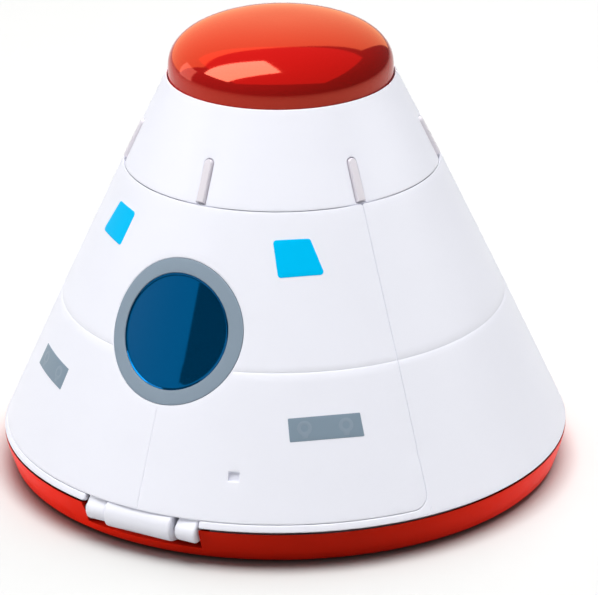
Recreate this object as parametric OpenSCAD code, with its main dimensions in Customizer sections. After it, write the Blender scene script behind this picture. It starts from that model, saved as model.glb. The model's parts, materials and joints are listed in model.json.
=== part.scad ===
// Toy space capsule: a moulded cone on a round base, with a drop-down hatch, a tinted porthole,
// a press dome on the nose, and a sound and light unit in the nose above the two-seat cabin.
// +Z is up, the origin is the centre of the feet, and the hatch faces -Y. Millimetres.

/* [Body] */
// Radius of the white body at its bottom edge
rim_r = 115; // [114:0.5:116]
// Height of the body's bottom edge above the table
rim_z = 15; // [14.8:0.1:15.2]
// Radial thickness of the moulded walls
wall = 2.5; // [2.3:0.1:2.6]
// Gap around the hatch
hatch_gap = 0.4; // [0.3:0.1:0.5]

/* [Hatch] */
// Half of the angle that the hatch covers
hatch_half = 60; // [58:1:60]
// Radius of the hatch's lower corners
corner_r = 6.5; // [5:0.5:8]
// Radius of the hole for the window
window_r = 22.5; // [21:0.5:23]
// Outer radius of the grey ring round the window
ring_r = 28.3; // [27.5:0.1:28.5]

/* [Hinge] */
// Radius of the hinge pin
pin_r = 1.5; // [1.3:0.1:1.6]
// Radius of the hatch's two knuckles
knuckle_r = 4.2; // [4:0.1:4.4]
// Radius of the fixed middle knuckle
saddle_r = 5.6; // [5.4:0.1:5.6]
// Half length of the middle knuckle
saddle_half = 16.2; // [15:0.1:16.2]
// Half length of the whole hinge
hinge_half = 26; // [25:0.5:26]

/* [Dome] */
// Radius of the dome
dome_r = 44.8; // [44.4:0.1:44.9]
// Height of the dome's curved top
dome_h = 20.1; // [18:0.1:22]
// How far the dome goes down when it is pressed
dome_travel = 2.5; // [1.5:0.1:2.5]

/* [Hidden] */
$fn = 96;
eps = 0.05;

white = [0.94, 0.94, 0.97];
red = [0.85, 0.15, 0.12];
grey = [0.53, 0.59, 0.65];
steel = [0.72, 0.73, 0.75];

// Heights of the body's panel lines, and the outer radius there
lower_line_z = rim_z + 56;
upper_line_z = rim_z + 112.5;
nose_top_z = rim_z + 147.7;
LINES = [lower_line_z, upper_line_z];
SKIN = [[rim_z - 10, rim_r + 4.54], [rim_z, rim_r], [lower_line_z, rim_r - 25.4],
        [upper_line_z, rim_r - 51.8], [nose_top_z, rim_r - 69.2]];

// Base
base_z = 1.6;
base_floor = 2.4;
shelf_z = 5.6;
base_lip_z = rim_z - 0.4;
base_lip_r = rim_r + 0.2;
base_foot_r = rim_r - 4.6;
foot_r = 6;
foot_h = 2.4;
foot_ring_r = 88;
post_ring_r = 102;
post_r = 5;
POSTS = [30 : 60 : 330];
FEET = [0 : 60 : 300];
SADDLE_SCREWS = [-9.5, 9.5];
saddle_screw_y = -105.6;
hinge_cut = hinge_half + 0.8;
box_wall_y = -103;

// Cabin floor, and the sill that the hatch closes on
floor_z0 = rim_z - 3.5;
floor_z1 = rim_z - 1;
sill_z = rim_z + 2.8;
sill_in_r = rim_r - 5.6;
hatch_z0 = sill_z + hatch_gap;

// Hinge axis
pin_y = -109.6;
pin_z = 12;

// The seam under the nose slopes at this angle, so that the hatch swings out past it
seam_angle = 60;
seam_drop = wall / (1 / tan(seam_angle) + (SKIN[2][1] - SKIN[3][1]) / (upper_line_z - lower_line_z));
hatch_top_z = upper_line_z - 0.5;

// Nose, deck and what stands on it
skirt_r = 60.2;
skirt_in_r = 58.4;
deck_z0 = upper_line_z - 8.9;
deck_z1 = upper_line_z - 6.5;
DECK_SCREWS = [0, 120, 240];
deck_screw_r = 55.4;
nose_screw_z = upper_line_z - 4.7;
NOSE_SCREWS = [90, 180, 270];
ledge_z = upper_line_z + 28.3;
bore_r = dome_r + 0.4;
board_z = deck_z1 + 17;
board_t = 1.6;
BOARD_POSTS = [-120, -40, 40, 120];
board_post_r = 32;
speaker_y = -22;
speaker_r = 14;
LAMPS = [60, 180, 300];
lamp_ring_r = 22;
switch_h = 8.4;
FINS = [0 : 60 : 300];
fin_z = upper_line_z + 0.6;
fin_len = 17.5;
fin_w = 3.8;
fin_in = 1.4;

// Batteries: two cells lie side by side along X
cell_r = 5.2;
cell_len = 44.4;
cell_z = deck_z1 + 6.6;
CELLS = [28.6, 39.4];
case_x = 25.6;
case_y = [21, 47];
case_h = 13.4;
COVER_SCREW = [29.2, 34];
cover_y = [23.3, 44.7];

// Dome
dome_edge_z = rim_z + 150.5;
dome_bottom_z = ledge_z - 2.1;
flange_r = dome_r + 1.5;
dome_n = 2.36;
pad_z = board_z + board_t + 11.2;
spring_r = 7;
spring_wire_r = 0.45;

// Window: layers behind the wall, as radial offsets from the skin
window_z = lower_line_z + 11.05;
ring_depth = 0.9;
lens_r = 24.5;
lens_out = -wall - 0.08;
lens_in = lens_out - 1.6;
retainer_in = lens_in - 1.4;
retainer_r = 30;
RETAINER_SCREWS = [[0, -24.2], [0, 24.2], [-18.4, 0], [18.4, 0]];

// Seats: side profile as [y, z above the floor]
seat_x = 32;
seat_w = 34;
seat_wall = 3;
SEAT_PINS = [8, 30];
CONSOLE_PINS = [0, 22];
SEAT_SIDE = [[-4, 0], [-4, 17], [16, 16], [27, 54], [40, 54], [40, 0]];
SEAT_PAN = [[-6, 11], [20, 8.5], [33, 60], [20, 60], [10, 30], [-6, 30]];

// ---- Geometry helpers ----

function skin(z) = lookup(z, SKIN);
function tilt(z) = atan(skin(z - 0.5) - skin(z + 0.5));
function levels(z0, z1) = concat([z0], [for (b = LINES) if (b > z0 && b < z1) b], [z1]);
function upside(list) = [for (i = [len(list) - 1 : -1 : 0]) list[i]];

// Points [r, z] of the wall between two offsets from the skin
function layer_points(inner, outer, z0, z1) =
    concat([for (z = levels(z0, z1)) [skin(z) + outer, z]],
           [for (z = upside(levels(z0, z1))) [skin(z) + inner, z]]);

// A shell that follows the skin
module layer(inner, outer, z0, z1) {
    rotate_extrude($fn = 180) polygon(layer_points(inner, outer, z0, z1));
}

// The wall from z0 up to the sloping seam at z1
module wall_to_seam(z0, z1) {
    rotate_extrude($fn = 180)
        polygon(concat([for (z = levels(z0, z1)) [skin(z), z]],
                       [[skin(z1) - seam_drop / tan(seam_angle), z1 - seam_drop]],
                       [for (z = upside(levels(z0, z1 - seam_drop - eps))) [skin(z) - wall, z]]));
}

// Places children on the skin: X along it, Y up its slope and Z straight out of it
module on_skin(az, z) {
    rotate([0, 0, az]) translate([0, -skin(z), z]) rotate([90 - tilt(z), 0, 0]) children();
}

// Extrudes a 2D shape drawn as [radius, z] into a plate that stands along the radius at az
module radial_plate(az, w) {
    rotate([0, 0, az - 90]) rotate([90, 0, 0]) linear_extrude(w, center = true) children();
}

module at_ring(az, r, z) {
    rotate([0, 0, az]) translate([0, -r, z]) children();
}

// A rod along X from x0 to x1
module rod_x(r, x0, x1) {
    translate([x0, 0, 0]) rotate([0, 90, 0]) cylinder(r = r, h = x1 - x0);
}

// A pan-head screw that stands up from the underside of its head
module screw(head_r, head_h, shank_r, shank_len) {
    difference() {
        union() {
            translate([0, 0, -head_h]) cylinder(r = head_r, h = head_h, $fn = 32);
            cylinder(r = shank_r, h = shank_len, $fn = 32);
        }
        for (a = [0, 90])
            rotate([0, 0, a]) translate([-head_r * 0.6, -0.3, -head_h - eps])
                cube([head_r * 1.2, 0.6, head_h * 0.5]);
    }
}

module upright_groove(az, z0, z1) {
    radial_plate(az, 0.6) polygon(layer_points(-0.45, 1, z0, z1));
}

module ring_groove(z) {
    rotate_extrude($fn = 180) polygon([[skin(z) - 0.45, z], [skin(z) + 0.5, z + 0.9],
                                       [skin(z) + 0.5, z - 0.9]]);
}

module rounded_outline(points, r) {
    hull() for (p = points) translate(p) circle(r = r, $fn = 24);
}

// The wedge of the body that the hatch takes up, larger by grow all round
module hatch_space(grow) {
    apex = grow / sin(hatch_half);
    far = 300;
    difference() {
        translate([0, 0, hatch_z0 - grow]) linear_extrude(200)
            polygon([[0, apex], [far * sin(hatch_half), apex - far * cos(hatch_half)], [0, -2 * far],
                     [-far * sin(hatch_half), apex - far * cos(hatch_half)]]);
        for (side = [0, 1]) mirror([side, 0, 0]) rotate([0, 0, hatch_half]) difference() {
            translate([-corner_r, -130, hatch_z0 - grow - 1])
                cube([corner_r + grow + 1, 50, corner_r + grow + 1]);
            translate([-corner_r, -79, hatch_z0 + corner_r]) rotate([90, 0, 0])
                cylinder(r = corner_r + grow - 0.02, h = 52);
        }
    }
}

// ---- Base ----

module base_tray() color(red) difference() {
    union() {
        rotate_extrude($fn = 180)
            polygon([[0, base_z], [base_foot_r, base_z], [base_foot_r + 1.1, base_z + 1.1],
                     [base_lip_r, base_lip_z - 1], [base_lip_r, base_lip_z],
                     [base_lip_r - 2.8, base_lip_z], [base_foot_r - 1.2, base_z + 4],
                     [base_foot_r - 3, base_z + base_floor], [0, base_z + base_floor]]);
        for (a = POSTS) at_ring(a, post_ring_r, base_z + 1)
            cylinder(r = post_r, h = floor_z0 - base_z - 1);
        // Shelf under the hinge, and the wall behind it
        intersection() {
            rotate_extrude($fn = 180)
                polygon([[0, base_z], [base_foot_r, base_z], [base_foot_r + 1.1, base_z + 1.1],
                         [base_lip_r, base_lip_z - 1], [base_lip_r, base_lip_z], [0, base_lip_z]]);
            union() {
                translate([-hinge_cut - 2, -130, base_z])
                    cube([2 * hinge_cut + 4, 130 + box_wall_y + 2, shelf_z - base_z]);
                difference() {
                    translate([-hinge_cut - 2, -130, base_z])
                        cube([2 * hinge_cut + 4, 130 + box_wall_y + 2, base_lip_z - base_z]);
                    translate([-hinge_cut, -131, base_z])
                        cube([2 * hinge_cut, 131 + box_wall_y, 20]);
                }
            }
        }
    }
    translate([-hinge_cut, -131, shelf_z]) cube([2 * hinge_cut, 131 + box_wall_y, 20]);
    for (a = POSTS) {
        at_ring(a, post_ring_r, 0) cylinder(r = 3.4, h = 8);
        at_ring(a, post_ring_r, 7) cylinder(r = 1.6, h = 10);
    }
    for (a = FEET) at_ring(a, foot_ring_r, 0) cylinder(r = foot_r + eps, h = foot_h);
    for (x = SADDLE_SCREWS) translate([x, saddle_screw_y, 0]) {
        cylinder(r = 2.7, h = base_z + 2);
        cylinder(r = 1.35, h = 10);
    }
}

module foot_pads() color([0.25, 0.25, 0.27])
    for (a = FEET) at_ring(a, foot_ring_r, 0) {
        cylinder(r1 = foot_r - 0.6, r2 = foot_r, h = 0.6);
        translate([0, 0, 0.6]) cylinder(r = foot_r, h = foot_h - 0.6);
    }

module base_screws() color(steel)
    for (a = POSTS) at_ring(a, post_ring_r, 8) screw(2.8, 1.8, 1.4, 11);

module hinge_saddle() color(white) difference() {
    union() {
        translate([0, pin_y, pin_z]) rod_x(saddle_r, -saddle_half, saddle_half);
        translate([-saddle_half, pin_y, shelf_z])
            cube([2 * saddle_half, box_wall_y - pin_y - eps, pin_z + 3 - shelf_z]);
    }
    translate([0, pin_y, pin_z]) rod_x(pin_r + 0.06, -40, 40);
    translate([-50, -130, 0]) cube([100, 60, shelf_z]);
    for (x = SADDLE_SCREWS) translate([x, saddle_screw_y, 0]) cylinder(r = 1.25, h = 11);
}

module saddle_screws() color(steel)
    for (x = SADDLE_SCREWS) translate([x, saddle_screw_y, base_z + 2]) screw(2.4, 1.4, 1.2, 7);

// ---- Cabin ----

module cabin_floor() color([0.86, 0.87, 0.9]) difference() {
    translate([0, 0, floor_z0]) cylinder(r = sill_in_r - 0.4, h = floor_z1 - floor_z0, $fn = 180);
    translate([-hinge_cut - 2.6, -130, 0]) cube([2 * hinge_cut + 5.2, 130 + box_wall_y + 2.4, 40]);
    for (a = POSTS) at_ring(a, post_ring_r, 0) cylinder(r = 1.8, h = 40);
    for (side = [-1, 1], y = SEAT_PINS) translate([side * seat_x, y, 0]) cylinder(r = 3.05, h = 40);
    for (y = CONSOLE_PINS) translate([0, y, 0]) cylinder(r = 2.55, h = 40);
}

module seat() {
    difference() {
        rotate([90, 0, 90]) linear_extrude(seat_w, center = true) polygon(SEAT_SIDE);
        rotate([90, 0, 90]) linear_extrude(seat_w - 2 * seat_wall, center = true) polygon(SEAT_PAN);
        translate([-seat_w / 2 + seat_wall, 0, -eps]) cube([seat_w - 2 * seat_wall, 36, 6]);
    }
    for (y = SEAT_PINS) translate([0, y, floor_z0 - floor_z1]) cylinder(r = 3, h = 8);
}

module seat_left() color([0.2, 0.45, 0.7]) translate([-seat_x, 0, floor_z1]) seat();

module seat_right() color([0.2, 0.45, 0.7]) translate([seat_x, 0, floor_z1]) seat();

module control_console() color(grey) {
    translate([0, 0, floor_z1]) difference() {
        rotate([90, 0, 90]) linear_extrude(24, center = true)
            polygon([[-12, 0], [-12, 18], [12, 32], [32, 32], [32, 0]]);
        rotate([90, 0, 90]) linear_extrude(20, center = true)
            polygon([[-10, -1], [-10, 17], [12, 30], [30, 30], [30, -1]]);
    }
    for (y = CONSOLE_PINS) translate([0, y, floor_z0]) cylinder(r = 2.5, h = 8);
    for (y = CONSOLE_PINS) translate([0, y, floor_z1 + 5]) cube([20.4, 5, 1], center = true);
}

// A printed plate on the console's slope
module console_plate() color([0.9, 0.92, 0.95])
    translate([0, 0, floor_z1 + 25]) rotate([atan(14 / 24), 0, 0])
        translate([-10, -11, 0]) cube([20, 22, 0.5]);

// ---- Body ----

module sill_boss(a) {
    at_ring(a, post_ring_r, floor_z1) cylinder(r = 4, h = 7);
    radial_plate(a, 3) polygon([[post_ring_r, floor_z1], [sill_in_r + 0.8, floor_z1],
                                [sill_in_r + 0.8, sill_z - 0.6], [post_ring_r, sill_z - 0.6]]);
}

module rear_shell() color(white) difference() {
    union() {
        difference() {
            wall_to_seam(rim_z, upper_line_z);
            hatch_space(hatch_gap);
        }
        rotate_extrude($fn = 180)
            polygon([[sill_in_r, rim_z - 2.6], [sill_in_r + 1.6, rim_z - 2.6],
                     [sill_in_r + 1.6, rim_z], [skin(rim_z) - 1, rim_z],
                     [skin(sill_z) - 1, sill_z], [sill_in_r, sill_z]]);
        for (a = POSTS) sill_boss(a);
        // Bosses for the screws that hold the nose
        for (a = NOSE_SCREWS) intersection() {
            rotate([0, 0, a]) translate([0, -skirt_r - 0.1, nose_screw_z])
                rotate([90, 0, 0]) cylinder(r = 2.2, h = 8);
            layer(-10, -1, nose_screw_z - 4, nose_screw_z + 3);
        }
    }
    translate([-hinge_cut, -131, 0]) cube([2 * hinge_cut, 131 + box_wall_y, sill_z + eps]);
    translate([-hinge_cut - 2.4, -113, 0]) cube([2 * hinge_cut + 4.8, 113 + box_wall_y + 2.4, rim_z]);
    ring_groove(lower_line_z);
    for (a = [120, 180, 240]) upright_groove(a, rim_z - 1, upper_line_z - 0.5);
    for (a = [hatch_half, -hatch_half]) upright_groove(a, rim_z - 1, sill_z + 1);
    for (a = POSTS) at_ring(a, post_ring_r, 0) cylinder(r = 1.45, h = floor_z1 + 6);
    for (a = NOSE_SCREWS) rotate([0, 0, a])
        translate([0, -skirt_r + 1, nose_screw_z]) rotate([90, 0, 0]) cylinder(r = 1.15, h = 4.2);
}

// ---- Nose ----

module fin_outline(grow) {
    translate([-fin_w / 2 - grow, -grow]) square([fin_w + 2 * grow, fin_len - fin_w / 2 + grow]);
    translate([0, fin_len - fin_w / 2]) circle(r = fin_w / 2 + grow);
}

module nose_cone() color(white) difference() {
    union() {
        rotate_extrude($fn = 180)
            polygon([[skin(upper_line_z), upper_line_z], [skin(nose_top_z), nose_top_z],
                     [bore_r, nose_top_z], [bore_r, ledge_z], [skin(ledge_z) - wall, ledge_z],
                     [skin(upper_line_z) - wall, upper_line_z + 2],
                     [skirt_in_r, upper_line_z + 2], [skirt_in_r, deck_z1], [skirt_r, deck_z1],
                     [skirt_r, upper_line_z - seam_drop],
                     [skin(upper_line_z) - seam_drop / tan(seam_angle), upper_line_z - seam_drop]]);
        for (a = DECK_SCREWS) at_ring(a, deck_screw_r, deck_z1) cylinder(r = 3.4, h = 9);
    }
    for (a = FINS) on_skin(a, fin_z) translate([0, 0, -fin_in])
        linear_extrude(5) fin_outline(0.3);
    for (a = DECK_SCREWS) at_ring(a, deck_screw_r, deck_z1 - 1) cylinder(r = 1.25, h = 9);
    for (a = NOSE_SCREWS) rotate([0, 0, a])
        translate([0, -skirt_in_r + 2, nose_screw_z]) rotate([90, 0, 0]) cylinder(r = 1.25, h = 5);
}

module nose_fins() color([0.89, 0.87, 0.89])
    for (a = FINS) on_skin(a, fin_z) translate([0, 0, -fin_in])
        linear_extrude(fin_in + 0.6) fin_outline(0);

module nose_screws() color(steel)
    for (a = NOSE_SCREWS) rotate([0, 0, a])
        translate([0, -skirt_in_r + 0.05, nose_screw_z]) rotate([90, 0, 0]) screw(1.75, 1.2, 1.1, 4.6);

module sound_deck() color([0.86, 0.87, 0.9]) difference() {
    union() {
        translate([0, 0, deck_z0]) cylinder(r = skirt_r, h = deck_z1 - deck_z0, $fn = 180);
        for (a = BOARD_POSTS) at_ring(a, board_post_r, deck_z1 - 1)
            cylinder(r = 2.8, h = board_z - deck_z1 + 1);
        translate([COVER_SCREW[0], COVER_SCREW[1], deck_z1 - 1]) cylinder(r = 3, h = 7);
        translate([0, speaker_y, deck_z1]) difference() {
            translate([0, 0, -1]) cylinder(r = speaker_r + 1.6, h = 4);
            translate([0, 0, -2]) cylinder(r = speaker_r + 0.2, h = 6);
        }
    }
    for (a = DECK_SCREWS) at_ring(a, deck_screw_r, deck_z0 - 1) {
        cylinder(r = 1.35, h = 9);
        cylinder(r = 2.7, h = 2.2);
    }
    for (a = BOARD_POSTS) at_ring(a, board_post_r, board_z - 6) cylinder(r = 1.15, h = 9);
    // Battery door, with the ear for its screw
    translate([-case_x + 2, cover_y[0] - 0.3, deck_z0 - 1])
        cube([2 * case_x - 4, cover_y[1] - cover_y[0] + 0.6, 5]);
    translate([case_x - 3, 29.7, deck_z0 - 1]) cube([COVER_SCREW[0] - case_x + 6.6, 8.6, 2.2]);
    translate([COVER_SCREW[0], COVER_SCREW[1], deck_z0 - 1]) cylinder(r = 1.15, h = 8);
    // Speaker grille
    translate([0, speaker_y, deck_z0 - 1]) {
        cylinder(r = 1, h = 5);
        for (ring = [1, 2], i = [0 : 6 * ring - 1])
            rotate([0, 0, i * 60 / ring]) translate([4.4 * ring, 0, 0]) cylinder(r = 1, h = 5);
    }
}

module deck_screws() color(steel)
    for (a = DECK_SCREWS) at_ring(a, deck_screw_r, deck_z0 + 1.2) screw(2.4, 1.1, 1.2, 8.6);

module speaker() translate([0, speaker_y, deck_z1]) {
    color([0.2, 0.2, 0.22]) difference() {
        cylinder(r = speaker_r, h = 4);
        translate([0, 0, -1]) cylinder(r = 11, h = 3);
    }
    color([0.2, 0.2, 0.22]) difference() {
        translate([0, 0, 0.4]) cylinder(r1 = 10.9, r2 = 5, h = 2);
        translate([0, 0, 0.3]) cylinder(r1 = 10.2, r2 = 4, h = 1.8);
    }
    color(steel) translate([0, 0, 3.9]) cylinder(r = 8, h = 3);
}

module battery_case() color([0.15, 0.15, 0.16]) difference() {
    translate([-case_x, case_y[0], deck_z1]) cube([2 * case_x, case_y[1] - case_y[0], case_h]);
    translate([-case_x + 1.2, case_y[0] + 1.2, deck_z1 - 1])
        cube([2 * case_x - 2.4, case_y[1] - case_y[0] - 2.4, case_h - 0.4]);
}

module battery_contacts() color(steel)
    for (side = [-1, 1], y = CELLS) translate([side * 24.2, y, cell_z]) {
        cube([0.4, 7, 8], center = true);
        translate([side * -0.1, 0, 0]) rotate([0, -90 * side, 0])
            cylinder(r1 = 3.2, r2 = 2, h = 1.7);
    }

module batteries() color([0.35, 0.45, 0.5])
    for (i = [0, 1]) translate([0, CELLS[i], cell_z]) rotate([0, 0, 180 * i]) {
        rod_x(cell_r, -cell_len / 2, cell_len / 2 - 1);
        rod_x(1.9, -cell_len / 2, cell_len / 2);
    }

module battery_cover() color([0.86, 0.87, 0.9]) difference() {
    union() {
        translate([-case_x + 2.3, cover_y[0], deck_z0])
            cube([2 * case_x - 4.6, cover_y[1] - cover_y[0], 2]);
        translate([case_x - 4, 30, deck_z0]) cube([COVER_SCREW[0] - case_x + 7.3, 8, 1.1]);
    }
    translate([COVER_SCREW[0], COVER_SCREW[1], 0]) cylinder(r = 1.3, h = 200);
}

module cover_screw() color(steel) translate([COVER_SCREW[0], COVER_SCREW[1], deck_z0]) screw(2.2, 1, 1.1, 6.4);

module circuit_board() color([0.1, 0.4, 0.22]) difference() {
    translate([0, 0, board_z]) cylinder(r = 36, h = board_t);
    for (a = BOARD_POSTS) at_ring(a, board_post_r, board_z - 1) cylinder(r = 1.35, h = 5);
}

module board_screws() color(steel)
    for (a = BOARD_POSTS) at_ring(a, board_post_r, board_z + board_t) mirror([0, 0, 1])
        screw(2.2, 1.2, 1.1, 7);

module dome_switch() translate([0, 0, board_z + board_t]) {
    color([0.15, 0.15, 0.16]) translate([-3, -3, 0]) cube([6, 6, 4]);
    color([0.8, 0.8, 0.8]) translate([0, 0, 3.9]) cylinder(r = 1.75, h = switch_h - 3.9);
}

module lamps() color([1, 0.95, 0.7])
    for (a = LAMPS) at_ring(a, lamp_ring_r, board_z + board_t) {
        cylinder(r = 2.9, h = 1);
        cylinder(r = 2.5, h = 6);
        translate([0, 0, 6]) intersection() {
            sphere(r = 2.5);
            translate([0, 0, 2.5]) cube(6, center = true);
        }
    }

// A round wire wound into a coil, as one closed tube
module coil(r, wire_r, turns, height) {
    sides = 8;
    steps = 20 * turns;
    points = [for (i = [0 : steps], j = [0 : sides - 1])
        let (a = 360 * turns * i / steps, b = 360 * j / sides, rr = r + wire_r * cos(b))
        [rr * cos(a), rr * sin(a), height * i / steps + wire_r * sin(b)]];
    skin_faces = [for (i = [0 : steps - 1], j = [0 : sides - 1])
        let (k = (j + 1) % sides, p = i * sides)
        [p + j, p + sides + j, p + sides + k, p + k]];
    start = [for (j = [0 : sides - 1]) j];
    end = [for (j = [sides - 1 : -1 : 0]) steps * sides + j];
    polyhedron(points, concat([start, end], skin_faces));
}

module dome_spring() color(steel)
    translate([0, 0, board_z + board_t + spring_wire_r])
        coil(spring_r, spring_wire_r, 5, pad_z - board_z - board_t - 2 * spring_wire_r);

// Points [r, z] of the dome's curve, from its edge to its top
function dome_curve(r, h, z) = [for (i = [0 : 24]) let (a = 90 * i / 24)
    [r * pow(cos(a), 2 / dome_n), z + h * pow(sin(a), 2 / dome_n)]];

module dome_button() color(red) {
    rotate_extrude($fn = 180)
        polygon(concat([[dome_r - 2.2, dome_bottom_z], [flange_r, dome_bottom_z],
                        [flange_r, ledge_z - eps], [dome_r, ledge_z - eps]],
                       dome_curve(dome_r, dome_h, dome_edge_z),
                       upside(dome_curve(dome_r - 2.2, dome_h - 2.2, dome_edge_z))));
    // The stem that pushes the spring and the switch
    difference() {
        translate([0, 0, pad_z]) cylinder(r = 9, h = dome_edge_z + dome_h - 1.5 - pad_z);
        translate([0, 0, pad_z + 2.4]) cylinder(r = 7, h = dome_edge_z + dome_h - 3.5 - pad_z);
    }
    translate([0, 0, board_z + board_t + switch_h + 0.25 + dome_travel])
        cylinder(r = 2, h = pad_z + 1 - board_z - board_t - switch_h - 0.25 - dome_travel);
}

// ---- Hatch ----

module hatch_knuckle(side) {
    x0 = side > 0 ? saddle_half + 0.4 : -hinge_half;
    translate([0, pin_y, pin_z]) rod_x(knuckle_r, x0, x0 + hinge_half - saddle_half - 0.4);
    // Web from the knuckle up to the edge of the panel
    intersection() {
        translate([x0, 0, 0]) rotate([90, 0, 90])
            linear_extrude(hinge_half - saddle_half - 0.4)
                polygon([[-116, pin_z], [-116, hatch_z0 + 1.3], [pin_y - 0.6, hatch_z0 + 1.3],
                         [pin_y + 2.6, pin_z]]);
        rotate_extrude($fn = 180)
            polygon([[90, 8], [rim_r - 0.3, 8], [rim_r - 0.3, rim_z],
                     [skin(hatch_z0 + 2) - 0.3, hatch_z0 + 2], [90, hatch_z0 + 2]]);
    }
}

module window_prism(r) {
    on_skin(0, window_z) translate([0, 0, -14]) cylinder(r = r, h = 20);
}

// Part of a layer that lies in a ring round the window
module window_band(inner, outer, r0, r1) {
    intersection() {
        layer(inner, outer, window_z - 40, window_z + 40);
        difference() {
            window_prism(r1);
            if (r0 > 0) window_prism(r0);
        }
    }
}

module hatch_panel() color(white) difference() {
    union() {
        intersection() {
            wall_to_seam(hatch_z0, hatch_top_z);
            hatch_space(0);
        }
        for (side = [-1, 1]) hatch_knuckle(side);
        // Tongue that snaps against the edge of the deck
        intersection() {
            translate([-7, -70, deck_z0 - 1]) cube([14, 20, 4]);
            layer(-6, -wall + 0.3, deck_z0 - 2, deck_z0 + 4);
            translate([0, 0, deck_z0 - 5]) difference() {
                cylinder(r = 90, h = 20);
                translate([0, 0, -1]) cylinder(r = skirt_r + 0.5, h = 30);
            }
        }
    }
    window_prism(window_r);
    window_band(-ring_depth, 2, 0, ring_r + 0.05);
    translate([0, pin_y, pin_z]) rod_x(pin_r, -40, 40);
    ring_groove(lower_line_z);
    upright_groove(0, hatch_z0 - 1, window_z - 26);
    // Blind pocket for an accessory
    on_skin(19.8, rim_z + 19.3) translate([-2.15, -1.85, -1.7]) cube([4.3, 3.7, 5]);
    for (s = RETAINER_SCREWS) on_skin(s[0], window_z + s[1]) translate([0, 0, -6])
        cylinder(r = 0.9, h = 4.9, $fn = 24);
}

module hinge_pin() color(steel)
    translate([0, pin_y, pin_z]) rod_x(pin_r, -hinge_half + 0.5, hinge_half - 0.5);

module window_ring() color(grey) window_band(-ring_depth, 0.15, window_r, ring_r);

module window_lens() color([0.02, 0.31, 0.5, 0.6]) window_band(lens_in, lens_out, 0, lens_r);

module window_retainer() color(white) difference() {
    union() {
        window_band(retainer_in, lens_in - 0.05, window_r + 0.3, retainer_r);
        window_band(lens_in - 0.1, -wall, lens_r + 0.2, retainer_r);
    }
    for (s = RETAINER_SCREWS) on_skin(s[0], window_z + s[1]) translate([0, 0, -8])
        cylinder(r = 1, h = 12, $fn = 24);
}

module retainer_screws() color(steel)
    for (s = RETAINER_SCREWS) on_skin(s[0], window_z + s[1])
        translate([0, 0, retainer_in * cos(tilt(window_z)) - 0.1]) screw(1.8, 0.8, 0.85, 3.6);

// Both halves of a mirrored pair of thin labels
module label_pair(az, z) {
    intersection() {
        layer(0.02, 0.15, z - 12, min(z + 12, upper_line_z - 2));
        for (side = [0, 1]) mirror([side, 0, 0]) on_skin(az, z) translate([0, 0, -3])
            linear_extrude(6) children();
    }
}

module blue_labels() color([0.01, 0.75, 0.96])
    label_pair(35, rim_z + 96.3)
        rounded_outline([[-7, 5.35], [4, 5.35], [9, -5.35], [-5.8, -5.35]], 1.3);

module grey_labels() color([0.48, 0.55, 0.6])
    label_pair(39.65, rim_z + 36.45)
        rounded_outline([[-13, 3.45], [13, 3.45], [13, -3.45], [-13, -3.45]], 1);

// ---- Assembly ----

base_tray();
foot_pads();
base_screws();
hinge_saddle();
saddle_screws();
cabin_floor();
seat_left();
seat_right();
control_console();
console_plate();
rear_shell();
nose_cone();
nose_fins();
nose_screws();
sound_deck();
deck_screws();
speaker();
battery_case();
battery_contacts();
batteries();
battery_cover();
cover_screw();
circuit_board();
board_screws();
dome_switch();
lamps();
dome_spring();
dome_button();
hatch_panel();
hinge_pin();
window_ring();
window_lens();
window_retainer();
retainer_screws();
blue_labels();
grey_labels();
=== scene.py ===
"""Looks of the toy space capsule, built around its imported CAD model.

Lengths are millimetres until place() or a mesh maker turns them into metres; the lights and the
floor are placed in metres. Azimuths are degrees from the front (-Y), positive towards +X, and a
height h is measured outwards from the cone's skin.
"""
import json
import math

import bmesh
import bpy
import numpy as np
from mathutils import Matrix, Vector
from mathutils.geometry import delaunay_2d_cdt


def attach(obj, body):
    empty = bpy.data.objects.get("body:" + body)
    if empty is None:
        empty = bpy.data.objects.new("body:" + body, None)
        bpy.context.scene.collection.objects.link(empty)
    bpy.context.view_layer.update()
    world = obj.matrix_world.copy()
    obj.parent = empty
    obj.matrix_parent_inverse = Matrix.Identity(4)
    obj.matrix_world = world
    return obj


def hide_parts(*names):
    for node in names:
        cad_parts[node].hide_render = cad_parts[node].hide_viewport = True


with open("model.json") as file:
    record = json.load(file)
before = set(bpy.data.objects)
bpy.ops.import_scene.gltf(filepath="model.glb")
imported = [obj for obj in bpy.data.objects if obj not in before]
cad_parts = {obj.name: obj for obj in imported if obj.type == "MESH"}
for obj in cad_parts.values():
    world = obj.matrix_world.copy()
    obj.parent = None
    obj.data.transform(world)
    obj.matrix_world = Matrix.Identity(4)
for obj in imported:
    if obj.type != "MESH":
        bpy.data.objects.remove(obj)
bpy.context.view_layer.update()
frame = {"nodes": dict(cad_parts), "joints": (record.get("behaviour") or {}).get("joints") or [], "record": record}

MM = 0.001

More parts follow.
